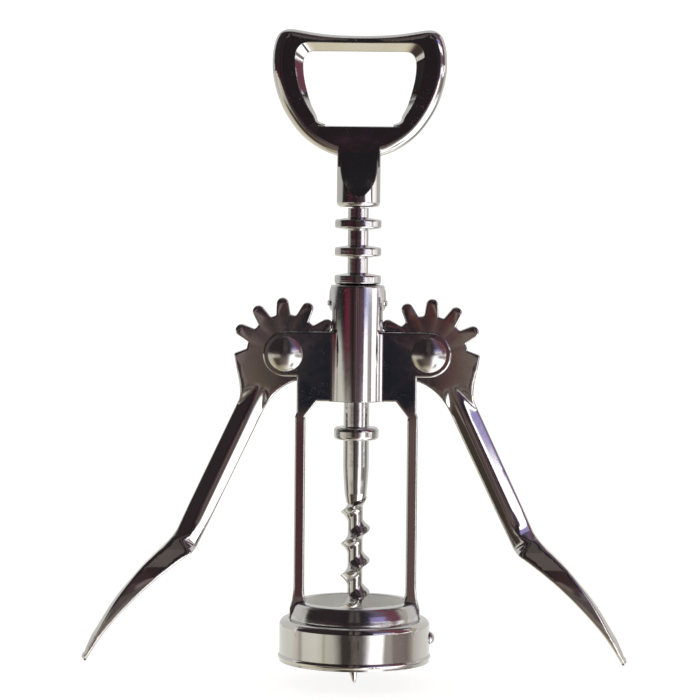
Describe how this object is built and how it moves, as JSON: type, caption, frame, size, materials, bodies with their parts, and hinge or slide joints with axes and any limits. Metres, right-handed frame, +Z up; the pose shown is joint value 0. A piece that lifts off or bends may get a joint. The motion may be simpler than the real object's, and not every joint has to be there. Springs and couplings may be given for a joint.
{
  "type": "wing corkscrew",
  "caption": "Wing corkscrew with geared lever arms, a ringed rack, a worm on a spindle, a bottle bell and a loop handle that opens crown caps, chrome plated.",
  "frame": {"origin": "centre of the plane of the bell's mouth, on the axis of the worm", "axes": "+Z up along the spindle towards the handle, +X from the left lever to the right lever, +Y to the back"},
  "size_m": [0.1474, 0.0412, 0.176],
  "materials": {
    "chrome_casting": "polished chrome plate over a zinc casting",
    "chrome_sheet": "polished chrome plate over pressed sheet steel",
    "chrome_rivet": "polished chrome plate over steel",
    "chrome_lever": "polished chrome plate over a zinc casting",
    "chrome_turned": "polished chrome plate over turned steel",
    "worm_steel": "bright chrome plate over forged steel",
    "chrome_handle": "polished chrome plate over a zinc casting"
  },
  "bodies": {
    "frame": {"frame_casting": "chrome_casting", "bell_skirt": "chrome_sheet", "skirt_rivet": "chrome_rivet", "left_pivot_rivet": "chrome_rivet", "right_pivot_rivet": "chrome_rivet"},
    "left_lever": {"left_lever": "chrome_lever"},
    "right_lever": {"right_lever": "chrome_lever"},
    "rack": {"annular_rack": "chrome_turned"},
    "spindle": {"spindle_shank": "chrome_turned", "stop_collar": "chrome_turned", "worm": "worm_steel", "handle": "chrome_handle"}
  },
  "joints": [
    {"name": "left_lever_pivot", "type": "hinge", "parent": "frame", "child": "left_lever", "pos_m": [-0.0192, 0, 0.0829], "axis": [0, 1, 0], "range_deg": [-25, 120]},
    {"name": "right_lever_pivot", "type": "hinge", "parent": "frame", "child": "right_lever", "pos_m": [0.0192, 0, 0.0829], "axis": [0, -1, 0], "range_deg": [-25, 120]},
    {"name": "rack_slide", "type": "slide", "parent": "frame", "child": "rack", "axis": [0, 0, -1], "range_m": [-0.00634, 0.03038]},
    {"name": "spindle_turn", "type": "hinge", "parent": "rack", "child": "spindle", "pos_m": [0, 0, 0.0706], "axis": [0, 0, 1], "continuous": true}
  ],
  "couplings": [
    {"joint": "right_lever_pivot", "follows": "left_lever_pivot", "ratio": 1},
    {"joint": "rack_slide", "follows": "left_lever_pivot", "m_per_rad": 0.014499}
  ]
}
